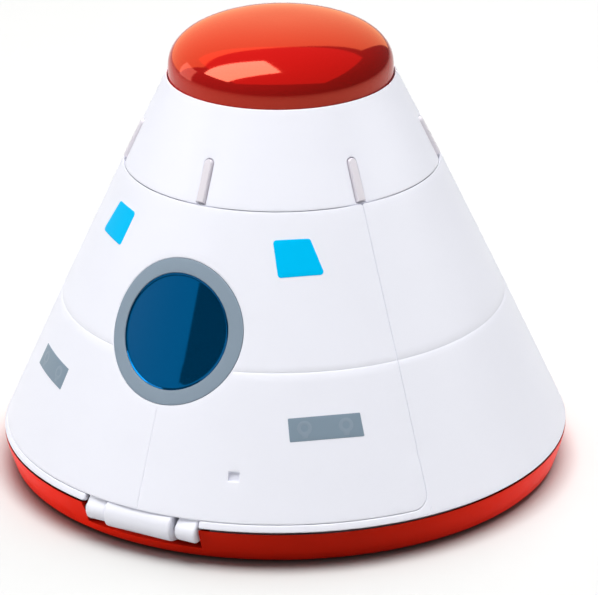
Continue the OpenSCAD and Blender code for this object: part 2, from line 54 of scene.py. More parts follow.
# ---- Driving dimensions, as in the CAD model ----
RIM_R, RIM_Z = 115.0, 15.0
LOWER_LINE = RIM_Z + 56.0
UPPER_LINE = RIM_Z + 112.5
NOSE_TOP = RIM_Z + 147.7
SKIN_Z = [RIM_Z - 10, RIM_Z, LOWER_LINE, UPPER_LINE, NOSE_TOP]
SKIN_R = [RIM_R + 4.54, RIM_R, RIM_R - 25.4, RIM_R - 51.8, RIM_R - 69.2]
WALL = 2.27
SKIRT_R, SKIRT_IN = 60.2, 58.4
SILL = RIM_Z + 2.8
HATCH_HALF = 60.0
HATCH_CORNER = 6.5
WINDOW_Z = LOWER_LINE + 11.05
PIVOT_Y, PIVOT_Z = (1000 * v for v in frame["joints"][0]["pos_m"][1:])
SADDLE_R, SADDLE_HALF = 5.6, 16.2
KNUCKLE_R, HINGE_HALF = 4.2, 26.0
HINGE_CUT = HINGE_HALF + 0.8
SHELF_Z = 5.6
DOME_R, DOME_H, DOME_EDGE = 44.8, 20.1, RIM_Z + 150.5
DOME_POWER = 2.36
BORE_R = DOME_R + 0.4
LEDGE = UPPER_LINE + 28.3
FIN_BOTTOM, FIN_LENGTH, FIN_WIDTH = UPPER_LINE + 0.6, 17.5, 3.8
FIN_PITCH = 60
SEAM_SLOPE = math.tan(math.radians(60 - 25))
POST_RING, POST_R = 102.0, 4.0
SILL_IN = RIM_R - 5.6
FLOOR_TOP = RIM_Z - 1
POCKET_AT = (19.8, RIM_Z + 19.3)
BLUE_AT = (35.0, RIM_Z + 96.3)
GREY_AT = (39.65, RIM_Z + 36.45)

# ---- Dimensions of the looks only ----
# The seams are tighter than the CAD's clearances, the window and its ring are a little wider, and
# the hinge is a little shorter.
SEAM_GAP = 0.1
HATCH_BOTTOM = SILL + 0.16
HATCH_TOP = UPPER_LINE - SEAM_GAP
REAR_TOP = UPPER_LINE - 0.08
STRIP_CORNER = 1.5
WINDOW_R, RING_R = 22.95, 28.65
SADDLE_X = (1.4 - SADDLE_HALF, SADDLE_HALF - 1.0)
SADDLE_BULGE = 0.38
KNUCKLE_X = {"left": (1.9 - HINGE_HALF, SADDLE_X[0] - 0.2),
             "right": (SADDLE_X[1] + 1.6, HINGE_HALF - 0.3)}
WALL_SHIFT = 1.4
LIP_TRIM = 0.9965
GROOVE_WIDTH, GROOVE_DEPTH = 0.5, 0.2
SEAM_WIDTH, SEAM_DEPTH = 0.4, 0.3
ACROSS = (-1, -0.5, 0, 0.5, 1)
DIMPLE_Z = RIM_Z + 22
DIMPLE_DEPTH, DIMPLE_WIDTH, DIMPLE_HEIGHT = 0.45, 2.6, 2.2
HOLLOW_DEPTH, HOLLOW_WIDTH, HOLLOW_FADE = 1.15, 6.5, 0.8
POCKET_HALF, POCKET_CORNER, POCKET_DEPTH = (2.15, 1.85), 0.5, 1.6
RING_CLEARANCE, PANE_CLEARANCE, FIN_CLEARANCE = 0.08, 0.1, 0.3
SLOT_INSET = 0.3
TONGUE_HALF, TONGUE_Z = 7, (UPPER_LINE - 9.9, UPPER_LINE - 5.9)
LIP_DROP, STEP_DROP = 0.35, 2.4
LEDGE_ENDS = (15.2, 344.8)
DOME_INNER = (0.95, 0.9)
BLUE_OUTLINE, BLUE_CORNER = [(-7.6, -7.7), (10.6, -7.0), (5.4, 7.1), (-9.0, 7.0)], 1.3
GREY_OUTLINE, GREY_CORNER = [(-14, -4.7), (15.2, -4.5), (14.1, 4.7), (-14.1, 4.45)], 0.4
MARK_X, MARK_Y, MARK_R, MARK_HOLE = (-8.0, 8.2), 0.3, 2.9, 1.4
MARK_TAIL = [(1.5, -2.2), (0.9, -3.9), (-0.9, -3.9), (-1.5, -2.2)]

# ---- Edges, as steps from the outer face inwards: (inset, height) ----
WALL_EDGE = [(0.5, 0), (0.22, -0.05), (0.06, -0.2), (0, -0.45), (0, -1.2), (0, -WALL + 0.2),
             (0.2, -WALL)]
POCKET_EDGE = [(0.22, -0.04), (0.06, -0.16), (0, -0.4)]
SLOT_EDGE = [(0.12, -0.03), (0.02, -0.12), (0, -0.3), (0, -1.9)]
FIN_EDGE = [(0.75, 0.45), (0.6, 0.43), (0.42, 0.3), (0.34, 0.1), (0.1, -1.0), (0.1, -1.86)]
RING_EDGE = [(0.3, 0.12), (0.1, 0.08), (0, -0.1), (0, -1.2), (0, -WALL)]
PANE_FRONT, PANE_BACK = -0.5, -WALL - 1.7
PANE_EDGE = [(1.25, PANE_FRONT - 0.15), (0.85, PANE_FRONT - 0.12), (0.45, PANE_FRONT + 0.02),
             (0.15, PANE_FRONT + 0.26), (0.04, PANE_FRONT + 0.3), (0, PANE_FRONT + 0.24),
             (0, PANE_BACK + 0.3), (0.2, PANE_BACK)]
LABEL_EDGE = [(0.12, 0.12), (0.04, 0.1), (0, 0.04), (0, -0.04)]
MARK_EDGE = [(inset_by, height + 0.03) for inset_by, height in LABEL_EDGE]
# A relief moves only the steps of an edge that lie above this height
RELIEF_DEPTH = -1

# ---- Mesh settings ----
TILT_EASE = 4
FLAT_R, FLAT_Z = 90.0, 1.104
PROJECT_STEPS = 8
FILL_MERGE, MERGE, WELD, DEGENERATE, ON_AXIS = 1e-5, 2e-6, 1e-5, 1e-7, 1e-9
SMOOTH_ANGLE = 35
NOSE_STEP = 1.5
NOSE_ROWS = 22
SOFTENED = {"cabin_floor": 0.4, "seat_left": 1.2, "seat_right": 1.2, "control_console": 1.0,
            "console_plate": 0.2, "foot_pads": 0.4}
BASE_SOFTENED = 0.3
SOFTEN_ANGLE = 28


# ---- The cone's skin ----

def skin(z):
    """Radius of the skin at height z."""
    return np.interp(z, SKIN_Z, SKIN_R)


def tilt(z):
    """Lean of the skin at height z, in radians, eased over the panel lines."""
    leans = -np.arctan(np.diff(SKIN_R) / np.diff(SKIN_Z))
    knots, values = [SKIN_Z[0]], [leans[0]]
    for z_line, before, after in zip(SKIN_Z[1:-1], leans, leans[1:]):
        knots += [z_line - TILT_EASE, z_line + TILT_EASE]
        values += [before, after]
    return np.interp(z, knots, values)


def place(az, z, h=0.0):
    """Points in metres for azimuths, heights on the skin and heights above it."""
    az, z, h = np.broadcast_arrays(np.radians(az), np.asarray(z, float), np.asarray(h, float))
    r = skin(z) + h * np.cos(tilt(z))
    return MM * np.stack([r * np.sin(az), -r * np.cos(az), z + h * np.sin(tilt(z))], -1)


def project(az0, z0, x, y):
    """Azimuths and heights where points drawn on the skin's tangent plane at (az0, z0) land."""
    a, t = math.radians(az0), float(tilt(z0))
    right = np.array([math.cos(a), math.sin(a), 0])
    out = np.array([math.sin(a) * math.cos(t), -math.cos(a) * math.cos(t), math.sin(t)])
    up = np.cross(out, right)
    start = place(az0, z0) / MM + np.outer(x, right) + np.outer(y, up)
    depth = np.zeros(len(start))
    for _ in range(PROJECT_STEPS):
        p = start + depth[:, None] * out
        depth -= (np.hypot(p[:, 0], p[:, 1]) - skin(p[:, 2])) / math.cos(t)
    p = start + depth[:, None] * out
    return np.stack([np.degrees(np.arctan2(p[:, 0], -p[:, 1])), p[:, 2]], -1)


# ---- Outlines: arrays of (azimuth, z) with the material on their left ----

def rounded(points, radius, steps=8):
    """A closed counter-clockwise polygon with its corners rounded, as (x, y) points."""
    out = []
    count = len(points)
    for i in range(count):
        before, corner, after = (np.array(points[(i + k) % count], float) for k in (-1, 0, 1))
        u, v = before - corner, after - corner
        u, v = u / np.linalg.norm(u), v / np.linalg.norm(v)
        half = math.acos(np.clip(u @ v, -1, 1)) / 2
        reach = radius / math.tan(half)
        centre = corner + (u + v) / np.linalg.norm(u + v) * radius / math.sin(half)
        a, b = corner + u * reach - centre, corner + v * reach - centre
        sweep = math.atan2(a[0] * b[1] - a[1] * b[0], a @ b)
        for k in range(steps + 1):
            c, s = math.cos(sweep * k / steps), math.sin(sweep * k / steps)
            out.append(centre + np.array([a[0] * c - a[1] * s, a[0] * s + a[1] * c]))
    return np.array(out)


def spread(points, step):
    """The same closed line with extra points, so that none are further apart than step."""
    out = []
    for a, b in zip(points, np.roll(points, -1, axis=0)):
        n = max(1, int(np.ceil(np.linalg.norm(b - a) / step)))
        out += [a + (b - a) * k / n for k in range(n)]
    return np.array(out)


def circle(radius, count=112):
    """A counter-clockwise circle as (x, y) points."""
    a = np.linspace(0, 2 * np.pi, count, endpoint=False)
    return radius * np.stack([np.cos(a), np.sin(a)], -1)


def on_patch(az0, z0, points):
    """An outline drawn as (x, y) points round (az0, z0), as (azimuth, z) on the skin."""
    return project(az0, z0, points[:, 0], points[:, 1])


def dense(start, end, step, at=()):
    """Values from start to end, with extra ones across each groove."""
    values = set(np.linspace(start, end, max(2, int(abs(end - start) / step) + 1)).tolist())
    for centre, width in at:
        if min(start, end) < centre - width and centre + width < max(start, end):
            values = {v for v in values if abs(v - centre) > 1.3 * width}
            values |= {centre + k * width for k in ACROSS}
    return sorted(values, reverse=end < start)


def inset(loop, d):
    """The outline moved by d millimetres towards its material."""
    d = np.broadcast_to(d, len(loop))
    r, c = skin(loop[:, 1]), np.cos(tilt(loop[:, 1]))

    def direction(other):
        step = other - loop
        step = np.stack([np.radians(step[:, 0]) * r, step[:, 1] / c], -1)
        return step / np.maximum(np.linalg.norm(step, axis=1, keepdims=True), 1e-9)

    along = direction(np.roll(loop, -1, axis=0)) - direction(np.roll(loop, 1, axis=0))
    along /= np.linalg.norm(along, axis=1, keepdims=True)
    left = np.stack([-along[:, 1], along[:, 0]], -1)
    return np.stack([loop[:, 0] + np.degrees(left[:, 0] * d / r),
                     loop[:, 1] + left[:, 1] * d * c], -1)


def inside(points, loop):
    """Which of the points lie inside a closed line."""
    hit = np.zeros(len(points), bool)
    x, y = points[:, 0], points[:, 1]
    for (x0, y0), (x1, y1) in zip(loop, np.roll(loop, -1, axis=0)):
        cross = (y0 > y) != (y1 > y)
        if y0 != y1:
            hit ^= cross & (x < (x1 - x0) * (y - y0) / (y1 - y0) + x0)
    return hit


def flat(points):
    """Azimuth and z as nearly true lengths in millimetres."""
    points = np.asarray(points, float)
    return np.stack([np.radians(points[:, 0]) * FLAT_R, points[:, 1] * FLAT_Z], -1)


def fill(loops, step, extra=(), row=0.8, extra_gap=0.22, grid_gap=0.55):
    """Triangles between outlines: the points (azimuth, z), the triangles and each loop's indices.

    A staggered grid of points fills the sheet, its rows step * row apart. The extra points keep
    extra_gap from the outlines, and the grid keeps step * grid_gap from both.
    """
    outer, holes = loops[0], loops[1:]
    low, high = outer.min(0), outer.max(0)
    pitch = np.degrees(step / FLAT_R)
    grid = np.array([(az, z)
                     for i, z in enumerate(np.arange(low[1] + step / 2, high[1], step * row))
                     for az in np.arange(low[0] + pitch * (0.25 + 0.5 * (i % 2)), high[0], pitch)])
    extra = np.array(extra).reshape(-1, 2)
    edge = flat(np.vstack(loops))

    def in_sheet(points):
        good = inside(points, outer)
        for hole in holes:
            good &= ~inside(points, hole)
        return good

    def keep(points, gap, near):
        points = points[in_sheet(points)]
        return np.array([p for p, q in zip(points, flat(points))
                         if ((near - q) ** 2).sum(1).min() > gap ** 2]).reshape(-1, 2)

    extra = keep(extra, extra_gap, edge)
    grid = keep(grid, grid_gap * step, np.vstack([edge, flat(extra)]))
    points = np.vstack(loops + [extra, grid])
    edges, starts, n = [], [], 0
    for loop in loops:
        edges += [(n + i, n + (i + 1) % len(loop)) for i in range(len(loop))]
        starts.append(range(n, n + len(loop)))
        n += len(loop)
    got = delaunay_2d_cdt([Vector(p) for p in flat(points)], edges, [], 0, FILL_MERGE, True)
    verts, tris, origin = np.array([v[:] for v in got[0]]), np.array(got[2]), got[3]
    back = {o: i for i, ids in enumerate(origin) for o in ids}
    verts = np.stack([np.degrees(verts[:, 0] / FLAT_R), verts[:, 1] / FLAT_Z], -1)
    tris = tris[in_sheet(verts[tris].mean(1))]
    return verts, tris, [[back[i] for i in ids] for ids in starts]


# ---- Mesh makers ----

MATERIAL = {}


def finish_mesh(name, bm, material):
    """A smooth-shaded object from a bmesh, with its edges sharp past SMOOTH_ANGLE."""
    mesh = bpy.data.meshes.new(name)
    bm.to_mesh(mesh)
    bm.free()
    mesh.shade_smooth()
    mesh.set_sharp_from_angle(angle=math.radians(SMOOTH_ANGLE))
    piece = bpy.data.objects.new(name, mesh)
    bpy.context.scene.collection.objects.link(piece)
    piece.data.materials.append(MATERIAL[material])
    return piece


def make_object(name, verts, faces, material):
    """A mesh object from points in metres, with merged points and outward faces."""
    raw = bpy.data.meshes.new(name)
    raw.from_pydata([tuple(v) for v in verts], [], [tuple(int(i) for i in f) for f in faces])
    bm = bmesh.new()
    bm.from_mesh(raw)
    bpy.data.meshes.remove(raw)
    bmesh.ops.remove_doubles(bm, verts=bm.verts, dist=MERGE)
    bmesh.ops.dissolve_degenerate(bm, edges=bm.edges, dist=DEGENERATE)
    bmesh.ops.recalc_face_normals(bm, faces=bm.faces)
    return finish_mesh(name, bm, material)


def panel(name, loops, material, edge=WALL_EDGE, step=2.4, relief=None, extra=(), slopes=None,
          floors=()):
    """A closed sheet that follows the skin between outlines, with rounded edges.

    relief gives a height to add at (azimuth, z). slopes holds, for each outline, how far each
    point's edge leans inwards with depth. floors maps the outlines that are pockets to the heights
    of their floors: their walls end there, and the back of the sheet passes behind them.
    """
    relief = relief or (lambda az, z: np.zeros(len(az)))
    slopes = slopes or [np.zeros(len(loop)) for loop in loops]
    inner = [inset(loop, edge[0][0]) for loop in loops]
    points, tris, ids = fill(inner, step, extra)
    front = place(points[:, 0], points[:, 1], edge[0][1] + relief(points[:, 0], points[:, 1]))
    verts, faces = [front], list(tris)
    count = len(front)
    through = [k for k in range(len(loops)) if k not in floors]
    if floors:
        back_points, back_tris, back_ids = fill([inner[k] for k in through], step * 2)
    else:
        back_points, back_tris, back_ids = points, tris, ids
    back_start = count
    verts.append(place(back_points[:, 0], back_points[:, 1], edge[-1][1]))
    faces += [t[::-1] + back_start for t in back_tris]
    count += len(back_points)
    for k, loop in enumerate(loops):
        ring = list(ids[k])
        pocket = k in floors
        steps = POCKET_EDGE + [(0, floors[k])] if pocket else edge[1:]
        for d, h in steps:
            line = inset(loop, np.full(len(loop), d) + slopes[k] * -h)
            lift = relief(line[:, 0], line[:, 1]) * (1 if h > RELIEF_DEPTH else 0)
            verts.append(place(line[:, 0], line[:, 1], h + lift))
            new = list(range(count, count + len(loop)))
            count += len(loop)
            for i in range(len(loop)):
                j = (i + 1) % len(loop)
                faces.append((ring[i], ring[j], new[j], new[i])[::-1])
            ring = new
        if pocket:
            faces.append(ring)
        else:
            last = [back_start + i for i in back_ids[through.index(k)]]
            for i in range(len(loop)):
                j = (i + 1) % len(loop)
                faces.append((ring[i], ring[j], last[j], last[i])[::-1])
    return make_object(name, np.vstack(verts), faces, material)


def lathe(name, profile, material, segments):
    """A closed body of revolution from (radius, z) points; the profile is closed on itself."""
    profile = np.array(profile, float) * MM
    angles = np.linspace(0, 2 * np.pi, segments, endpoint=False)
    count = len(profile)
    verts = [(r * math.sin(a), -r * math.cos(a), z) for a in angles for r, z in profile]
    faces = []
    for i in range(segments):
        j = (i + 1) % segments
        for k in range(count):
            m = (k + 1) % count
            if max(profile[k][0], profile[m][0]) > ON_AXIS:
                faces.append([i * count + k, j * count + k, j * count + m, i * count + m])
    return make_object(name, verts, faces, material)


def sector(name, profile, start, end, material, segments=150):
    """A closed body swept about Z from (radius, z) points, between two azimuths."""
    profile = np.array(profile, float) * MM
    angles = np.radians(np.linspace(start, end, segments))
    count = len(profile)
    verts = [(r * math.sin(a), -r * math.cos(a), z) for a in angles for r, z in profile]
    faces = []
    for i in range(segments - 1):
        for k in range(count):
            m = (k + 1) % count
            faces.append([i * count + k, (i + 1) * count + k, (i + 1) * count + m, i * count + m])
    faces += [list(range(count)), [(segments - 1) * count + k for k in reversed(range(count))]]
    return make_object(name, verts, faces, material)


def prism_x(name, outline, x0, x1, material, bevel):
    """A bar along X with the given (y, z) outline and rounded edges."""
    bm = bmesh.new()
    near = [bm.verts.new((x0 * MM, y * MM, z * MM)) for y, z in outline]
    far = [bm.verts.new((x1 * MM, y * MM, z * MM)) for y, z in outline]
    ends = [bm.faces.new(near[::-1]), bm.faces.new(far)]
    for i in range(len(outline)):
        j = (i + 1) % len(outline)
        bm.faces.new((near[i], near[j], far[j], far[i]))
    bmesh.ops.recalc_face_normals(bm, faces=bm.faces)
    rims = list({e for f in ends for e in f.edges})
    bmesh.ops.bevel(bm, geom=rims, offset=bevel * MM, segments=3, profile=0.5, affect="EDGES")
    return finish_mesh(name, bm, material)


def soften(piece, width):
    """Rounds a piece's sharp edges."""
    weld = piece.modifiers.new("weld", "WELD")
    weld.merge_threshold = WELD
    bevel = piece.modifiers.new("bevel", "BEVEL")
    bevel.width, bevel.segments = width * MM, 3
    bevel.limit_method, bevel.angle_limit = "ANGLE", math.radians(SOFTEN_ANGLE)
    bevel.harden_normals = True


def finish_piece(piece, body, slot, *nodes):
    """Rides a piece on its body and hides the CAD nodes that it stands for; its slot is not used."""
    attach(piece, body)
    if nodes:
        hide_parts(*nodes)
    return piece


# ---- Materials ----

def srgb(r, g, b):
    """An sRGB colour of 0 to 255 as a linear RGBA colour."""
    def one(v):
        v /= 255
        return v / 12.92 if v <= 0.04045 else ((v + 0.055) / 1.055) ** 2.4
    return (one(r), one(g), one(b), 1.0)


def shade(colour, k):
    """A linear colour made k times as bright."""
    return tuple(min(1.0, c * k) for c in colour[:3]) + (1.0,)


MOTTLE_SIZE, ROUGH_SIZE = 38, 14


def plastic(name, colour, rough, grain=0.6, grain_size=0.9, mottle=0.03, ior=1.5, **sockets):
    """Moulded plastic: faint mottling, roughness that varies, and a fine surface grain.

    grain is the depth of the grain in hundredths of a millimetre, and grain_size its width in
    millimetres. mottle is how far the colour strays from its mean.
    """
    material = bpy.data.materials.new(name)
    material.use_nodes = True
    nodes, links = material.node_tree.nodes, material.node_tree.links
    shader = nodes["Principled BSDF"]
    shader.inputs["IOR"].default_value = ior
    for socket, value in sockets.items():
        shader.inputs[socket.replace("_", " ")].default_value = value
    where = nodes.new("ShaderNodeTexCoord")

    def noise(width_mm, detail=3.0):
        node = nodes.new("ShaderNodeTexNoise")
        node.inputs["Scale"].default_value = 1000 / width_mm
        node.inputs["Detail"].default_value = detail
        links.new(where.outputs["Object"], node.inputs["Vector"])
        return node

    ramp = nodes.new("ShaderNodeValToRGB")
    dark, light = ramp.color_ramp.elements
    dark.position, light.position = 0.35, 0.65
    dark.color, light.color = shade(colour, 1 - mottle), shade(colour, 1 + mottle)
    links.new(noise(MOTTLE_SIZE).outputs["Fac"], ramp.inputs["Fac"])
    links.new(ramp.outputs["Color"], shader.inputs["Base Color"])
    spread_rough = nodes.new("ShaderNodeMapRange")
    spread_rough.inputs["To Min"].default_value = rough * 0.85
    spread_rough.inputs["To Max"].default_value = min(1.0, rough * 1.2)
    links.new(noise(ROUGH_SIZE, 5).outputs["Fac"], spread_rough.inputs["Value"])
    links.new(spread_rough.outputs["Result"], shader.inputs["Roughness"])
    bump = nodes.new("ShaderNodeBump")
    bump.inputs["Strength"].default_value = 0.5
    bump.inputs["Distance"].default_value = grain * 1e-5
    links.new(noise(grain_size, 2).outputs["Fac"], bump.inputs["Height"])
    links.new(bump.outputs["Normal"], shader.inputs["Normal"])
    MATERIAL[name] = material


def make_materials():
    """The material of every slot, and the floor's."""
    plastic("white_plastic", srgb(241, 242, 251), 0.42, grain=0.5, mottle=0.006)
    plastic("red_plastic", srgb(190, 30, 14), 0.3, grain=0.25, mottle=0.02,
            Specular_IOR_Level=0.05, Specular_Tint=(1.0, 0.4, 0.2, 1.0))
    plastic("red_gloss", srgb(146, 10, 14), 0.08, grain=0.04, grain_size=6, mottle=0.03, ior=2.1,
            Specular_IOR_Level=0.85, Specular_Tint=(1.0, 0.19, 0.11, 1.0))
    plastic("fin_plastic", srgb(226, 221, 228), 0.4, mottle=0.01)
    plastic("inner_plastic", srgb(214, 217, 224), 0.5, grain=1.2, mottle=0.012)
    plastic("grey_plastic", srgb(120, 130, 142), 0.5, grain=1.5)
    plastic("seat_plastic", srgb(40, 98, 160), 0.45, grain=1.5)
    plastic("black_plastic", srgb(30, 31, 33), 0.5, grain=1.5)
    plastic("foot_rubber", srgb(44, 45, 47), 0.8, grain=2)
    plastic("window_grey", srgb(137, 153, 168), 0.4, grain=0.4, mottle=0.008,
            Specular_IOR_Level=0.3)
    plastic("blue_print", srgb(0, 192, 247), 0.4, grain=0.3, mottle=0.01, Specular_IOR_Level=0.12,
            Specular_Tint=(0.1, 0.8, 1.0, 1.0))
    plastic("grey_print", srgb(130, 148, 163), 0.4, grain=0.3, mottle=0.012,
            Specular_IOR_Level=0.25)
    plastic("printed_label", srgb(220, 226, 232), 0.4)
    plastic("tinted_window", srgb(0, 50, 80), 0.05, grain=0.02, grain_size=12, mottle=0.04, ior=2.0,
            Transmission_Weight=0.25, Specular_IOR_Level=0.9, Specular_Tint=(0.0, 0.36, 1.0, 1.0))
    plastic("lamp_clear", srgb(252, 240, 190), 0.1, Transmission_Weight=0.7)
    plastic("board_green", srgb(24, 92, 56), 0.35)
    plastic("cell_steel", srgb(80, 104, 120), 0.3, Metallic=0.6)
    plastic("steel", srgb(190, 192, 196), 0.3, Metallic=1.0)
    plastic("floor", srgb(200, 200, 199), 0.9, grain=0.3, mottle=0.002)


# ---- Camera, lights and floor ----

CAMERA_AZIMUTH, CAMERA_ELEVATION = 30.5, 22.09
CAMERA_DISTANCE = 14.149 * RIM_R * MM
CAMERA_LENS, CAMERA_ROLL = 241.9, -0.65
CAMERA_SHIFT = (6.17, -5.99)
LIGHT_AIM = (0, 0, 0.09)
WORLD_STRENGTH = 0.13
FLOOR_SIZE = 8
WHITE, AMBER, ORANGE, RED = (1, 1, 1), (1, 0.7, 0.42), (1, 0.62, 0.3), (1, 0.05, 0.05)
# Each light: name, azimuth, elevation, distance, size, watts, what it lights and its colour
LIGHTS = [
    ("floor_top_light", 190, 78, 1.8, (1.7, 1.5), 68, "floor", WHITE),
    ("floor_left_light", 275, 50, 1.8, (1.3, 0.8), 2.5, "floor", WHITE),
    ("floor_right_light", 140, 50, 1.8, (1.3, 0.8), 1, "floor", WHITE),
    ("top_light", 0, 89, 1.5, (1.8, 1.8), 27, "body", WHITE),
    ("key_light", -8, 66, 1.4, (0.9, 0.9), 9, "body", WHITE),
    ("left_light", -50, 24, 1.6, (1.6, 0.8), 3.5, "body", WHITE),
    ("right_light", 118, 20, 1.6, (1.0, 0.8), 4.2, "body", WHITE),
    ("back_light", 210, 30, 1.7, (2.0, 0.9), 6, "body", WHITE),
    ("base_left_light", -66, 10, 1.6, (1.0, 0.5), 42, "base", AMBER),
    ("base_right_light", 138, 10, 1.6, (0.9, 0.5), 38, "base", AMBER),
    ("dome_back_light", 228, 27, 1.7, (3.6, 1.9), 34, "dome", ORANGE),
    ("dome_key_light", -44, 58, 1.4, (0.8, 1.5), 24, "dome", WHITE),
    ("dome_top_light", 30, 82, 1.4, (3.4, 2.7), 33, "dome", RED),
    ("dome_left_light", -80, 10, 1.6, (0.6, 0.8), 2, "dome", WHITE),
]


def looking_from(azimuth, elevation):
    """The direction from the capsule towards a camera or light."""
    a, e = math.radians(azimuth), math.radians(elevation)
    return Vector((math.sin(a) * math.cos(e), -math.cos(a) * math.cos(e), math.sin(e)))


def make_camera():
    """A long lens at the front right, a little above the capsule."""
    a = math.radians(CAMERA_AZIMUTH)
    right = Vector((math.cos(a), math.sin(a), 0))
    back = looking_from(CAMERA_AZIMUTH, CAMERA_ELEVATION)
    up = back.cross(right)
    aim = (Vector((0, 0, (RIM_Z + RIM_R / 2) * MM)) + right * CAMERA_SHIFT[0] * MM
           + up * CAMERA_SHIFT[1] * MM)
    data = bpy.data.cameras.new("camera")
    data.lens, data.sensor_width = CAMERA_LENS, 36
    camera = bpy.data.objects.new("camera", data)
    bpy.context.scene.collection.objects.link(camera)
    turn = Matrix((right, up, back)).transposed().to_4x4()
    camera.matrix_world = (Matrix.Translation(aim + back * CAMERA_DISTANCE) @ turn
                           @ Matrix.Rotation(math.radians(CAMERA_ROLL), 4, "Z"))
    bpy.context.scene.camera = camera


def soft_box(name, azimuth, elevation, distance, size, watts, colour, lit=(), left_out=()):
    """An area light that faces the capsule, and lights only some objects or all but some."""
    back = looking_from(azimuth, elevation)
    data = bpy.data.lights.new(name, "AREA")
    data.shape, data.size, data.size_y, data.energy = "RECTANGLE", size[0], size[1], watts
    data.color = colour
    light = bpy.data.objects.new(name, data)
    bpy.context.scene.collection.objects.link(light)
    light.location = Vector(LIGHT_AIM) + back * distance
    light.rotation_euler = back.to_track_quat("Z", "Y").to_euler()
    group = bpy.data.collections.new(name + "_objects")
    for thing in lit or left_out:
        group.objects.link(thing)
    for link in group.collection_objects:
        link.light_linking.link_state = "INCLUDE" if lit else "EXCLUDE"
    light.light_linking.receiver_collection = group


def make_studio(dome, base):
    """A pale floor, a faint white surround and the soft boxes."""
    scene = bpy.context.scene
    scene.view_settings.view_transform = "Standard"
    world = bpy.data.worlds.new("studio")
    scene.world = world
    world.use_nodes = True
    background = world.node_tree.nodes["Background"]
    background.inputs["Color"].default_value = (1, 1, 1, 1)
    background.inputs["Strength"].default_value = WORLD_STRENGTH
    bpy.ops.mesh.primitive_grid_add(x_subdivisions=8, y_subdivisions=8, size=FLOOR_SIZE)
    floor = bpy.context.object
    floor.name = "floor"
    floor.data.materials.append(MATERIAL["floor"])
    only = {"floor": floor, "dome": dome, "base": base}
    for *setting, target, colour in LIGHTS:
        if target in only:
            soft_box(*setting, colour, lit=[only[target]])
        else:
            soft_box(*setting, colour, left_out=list(only.values()))


# ---- The capsule's pieces ----

def groove(distance, width, depth):
    """The height of a V groove at a distance from its middle."""
    return -depth * np.clip(1 - np.abs(distance) / width, 0, 1)


def body_relief(seams):
    """A relief of grooves and dimples for the body.

    A groove runs along the lower panel line and down each upright seam (azimuth, z from, z to), and
    a soft dimple lies on each side seam of the hatch.
    """
    def relief(az, z):
        high = groove(z - LOWER_LINE, GROOVE_WIDTH, GROOVE_DEPTH)
        for seam, z0, z1 in seams:
            off = np.radians(az - seam) * skin(z)
            line = groove(off, SEAM_WIDTH, SEAM_DEPTH) * ((z > z0) & (z < z1))
            high = np.minimum(high, line)
        for side in (-1, 1):
            off = (np.mod(az + 180, 360) - 180 - side * HATCH_HALF) * np.radians(1) * skin(z)
            high = high - DIMPLE_DEPTH * np.exp(-(off / DIMPLE_WIDTH) ** 2
                                                - ((z - DIMPLE_Z) / DIMPLE_HEIGHT) ** 2)
        return high
    return relief


def groove_points(az0, az1, seams):
    """Points across the grooves, so that the mesh has them."""
    points = [(az, LOWER_LINE + k * GROOVE_WIDTH)
              for az in np.arange(az0, az1, 1.0) for k in ACROSS]
    for seam, z0, z1 in seams:
        points += [(seam + np.degrees(k * SEAM_WIDTH / skin(z)), z)
                   for z in np.arange(z0, z1, 1.4) for k in ACROSS]
    return points


def side_edge(az, shift, z0, z1, step=1.6):
    """Points up or down an edge at azimuth az, shifted sideways by millimetres."""
    z = np.array(dense(z0, z1, step, [(LOWER_LINE, GROOVE_WIDTH)]))
    return np.stack([az + np.degrees(shift / skin(z)), z], -1)


def level_edge(z, az0, az1, seams=(), step=1.0):
    """Points along the level z between two azimuths, with extra ones across each seam."""
    at = [(seam, np.degrees(SEAM_WIDTH / skin(z))) for seam in seams]
    az = np.array(dense(az0, az1, step, at))
    return np.stack([az, np.full(len(az), z)], -1)


def corner(az_edge, shift, z_edge, radius, start, end, sx, sz, steps=7):
    """A round corner whose sides touch the edge at az_edge and the level z_edge."""
    a = np.radians(np.linspace(start, end, steps + 2)[1:-1])
    z = z_edge + sz * radius * (1 + np.sin(a) * sz) * np.cos(tilt(z_edge))
    across = shift + sx * radius * (1 + np.cos(a) * sx)
    return np.stack([az_edge + np.degrees(across / skin(z)), z], -1)


def hatch_outline():
    """The hatch's outline, and how much each point's edge leans with depth."""
    drop = HATCH_CORNER * math.cos(float(tilt(HATCH_BOTTOM)))
    reach = float(np.degrees(HATCH_CORNER / skin(HATCH_BOTTOM)))
    bottom = level_edge(HATCH_BOTTOM, -HATCH_HALF + reach, HATCH_HALF - reach, [0])
    right = side_edge(HATCH_HALF, 0, HATCH_BOTTOM + drop, HATCH_TOP - 0.8)
    top = level_edge(HATCH_TOP, HATCH_HALF - 0.5, -HATCH_HALF + 0.5)
    left = side_edge(-HATCH_HALF, 0, HATCH_TOP - 0.8, HATCH_BOTTOM + drop)
    low_right = corner(HATCH_HALF, 0, HATCH_BOTTOM, HATCH_CORNER, -90, 0, -1, 1)
    low_left = corner(-HATCH_HALF, 0, HATCH_BOTTOM, HATCH_CORNER, 180, 270, 1, 1)
    loop = np.vstack([bottom, low_right, right, top, left, low_left])
    lean = np.where(loop[:, 1] > HATCH_TOP - 0.4, SEAM_SLOPE, 0.0)
    return loop, lean


